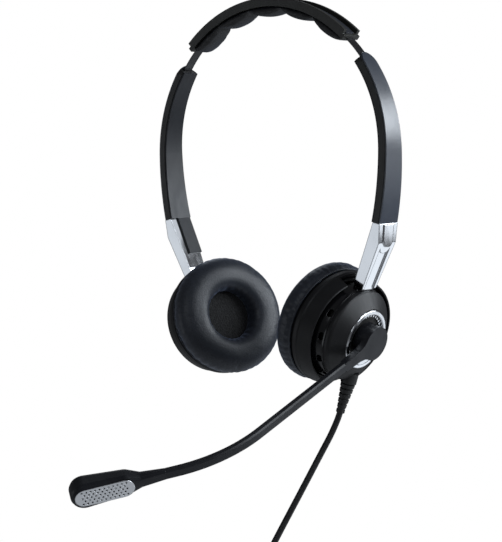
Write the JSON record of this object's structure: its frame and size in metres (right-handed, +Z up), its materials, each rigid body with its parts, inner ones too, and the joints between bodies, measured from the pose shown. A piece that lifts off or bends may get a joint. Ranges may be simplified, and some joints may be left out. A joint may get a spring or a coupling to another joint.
{
  "type": "office headset",
  "caption": "Corded over-the-head office headset: slim spring headband with padded crown, swivelling leatherette ear cups on chrome yokes, rotating boom microphone, cord ending in a jack plug.",
  "frame": {"origin": "midway between the two ear cushions, at the height of the hub centres less a few millimetres, where the wearer's ears are", "axes": "+Z up towards the crown, -Y the way the wearer faces, +X the wearer's left, the side with the boom and the cord"},
  "size_m": [0.1418, 0.174, 0.394],
  "materials": {
    "spring_steel": "brushed",
    "crown_plastic": "satin",
    "crown_inlay": "satin",
    "pad_foam": "fine grain",
    "arm_edge": "satin",
    "arm_satin": "satin",
    "arm_inner": "satin",
    "chrome": "polished",
    "screw_steel": "machined",
    "inner_plastic": "fine texture",
    "matte_black": "fine texture",
    "gloss_black": "gloss",
    "ring_metal": "satin",
    "film": "thin film",
    "leatherette": "fine grain",
    "mesh_fabric": "woven mesh",
    "boom_plastic": "satin",
    "board": "solder mask",
    "soft_rubber": "matte",
    "cord_rubber": "satin",
    "plug_plastic": "satin",
    "plug_gold": "plated"
  },
  "bodies": {
    "headband": {"spring_band": "spring_steel", "band_stops": "spring_steel", "crown_cover": "crown_plastic", "crown_inlay": "crown_inlay", "crown_pad": "pad_foam"},
    "left_arm": {"left_arm_frame": "arm_edge", "left_arm_cover": "arm_satin", "left_arm_liner": "arm_inner", "left_yoke": "chrome", "left_yoke_screws": "screw_steel", "left_hub_housing": "inner_plastic", "left_hub_cap": "matte_black", "left_hub_bowl": "gloss_black", "chrome_ring": "chrome", "detent_ring": "chrome", "wiring_board": "board", "strain_relief": "soft_rubber", "cord": "cord_rubber", "cord_hank": "cord_rubber", "hank_tie": "soft_rubber", "cord_tail": "cord_rubber", "plug_body": "plug_plastic", "plug_pin": "plug_gold", "plug_insulators": "plug_plastic"},
    "left_gimbal": {"left_gimbal_ring": "inner_plastic"},
    "left_cup": {"left_dish": "matte_black", "left_baffle": "inner_plastic", "left_driver_frame": "ring_metal", "left_driver_magnet": "ring_metal", "left_diaphragm": "film", "left_cushion_ring": "inner_plastic", "left_ear_cushion": "leatherette", "left_ear_mesh": "mesh_fabric"},
    "boom": {"boom_disc": "inner_plastic", "boom_arm": "boom_plastic", "boom_clip": "screw_steel", "mic_housing": "boom_plastic", "mic_grille": "chrome", "mic_capsule": "ring_metal", "mic_foam": "mesh_fabric"},
    "right_arm": {"right_arm_frame": "arm_edge", "right_arm_cover": "arm_satin", "right_arm_liner": "arm_inner", "right_yoke": "chrome", "right_yoke_screws": "screw_steel", "right_hub_housing": "inner_plastic", "right_hub_cap": "matte_black", "right_hub_bowl": "gloss_black"},
    "right_gimbal": {"right_gimbal_ring": "inner_plastic"},
    "right_cup": {"right_dish": "matte_black", "right_baffle": "inner_plastic", "right_driver_frame": "ring_metal", "right_driver_magnet": "ring_metal", "right_diaphragm": "film", "right_cushion_ring": "inner_plastic", "right_ear_cushion": "leatherette", "right_ear_mesh": "mesh_fabric"}
  },
  "joints": [
    {"name": "left_arm_extension", "type": "hinge", "parent": "headband", "child": "left_arm", "pos_m": [0, 0, 0.079], "axis": [0, 1, 0], "range_deg": [-6.5, 7]},
    {"name": "right_arm_extension", "type": "hinge", "parent": "headband", "child": "right_arm", "pos_m": [0, 0, 0.079], "axis": [0, -1, 0], "range_deg": [-6.5, 7]},
    {"name": "left_cup_swivel", "type": "hinge", "parent": "left_arm", "child": "left_gimbal", "pos_m": [0.0383, 0, -0.0048], "axis": [0.2924, 0, 0.9563], "range_deg": [-10, 26]},
    {"name": "left_cup_tilt", "type": "hinge", "parent": "left_gimbal", "child": "left_cup", "pos_m": [0.0383, 0, -0.0048], "axis": [0.1331, 0.9903, -0.0407], "range_deg": [-4, 4]},
    {"name": "right_cup_swivel", "type": "hinge", "parent": "right_arm", "child": "right_gimbal", "pos_m": [-0.0383, 0, -0.0048], "axis": [-0.2924, 0, 0.9563], "range_deg": [-1, 35]},
    {"name": "right_cup_tilt", "type": "hinge", "parent": "right_gimbal", "child": "right_cup", "pos_m": [-0.0383, 0, -0.0048], "axis": [0.2796, 0.9563, 0.0855], "range_deg": [-4, 4]},
    {"name": "boom_swing", "type": "hinge", "parent": "left_arm", "child": "boom", "pos_m": [0.0383, 0, -0.0048], "axis": [-0.9563, 0, 0.2924], "range_deg": [-35, 235]}
  ]
}
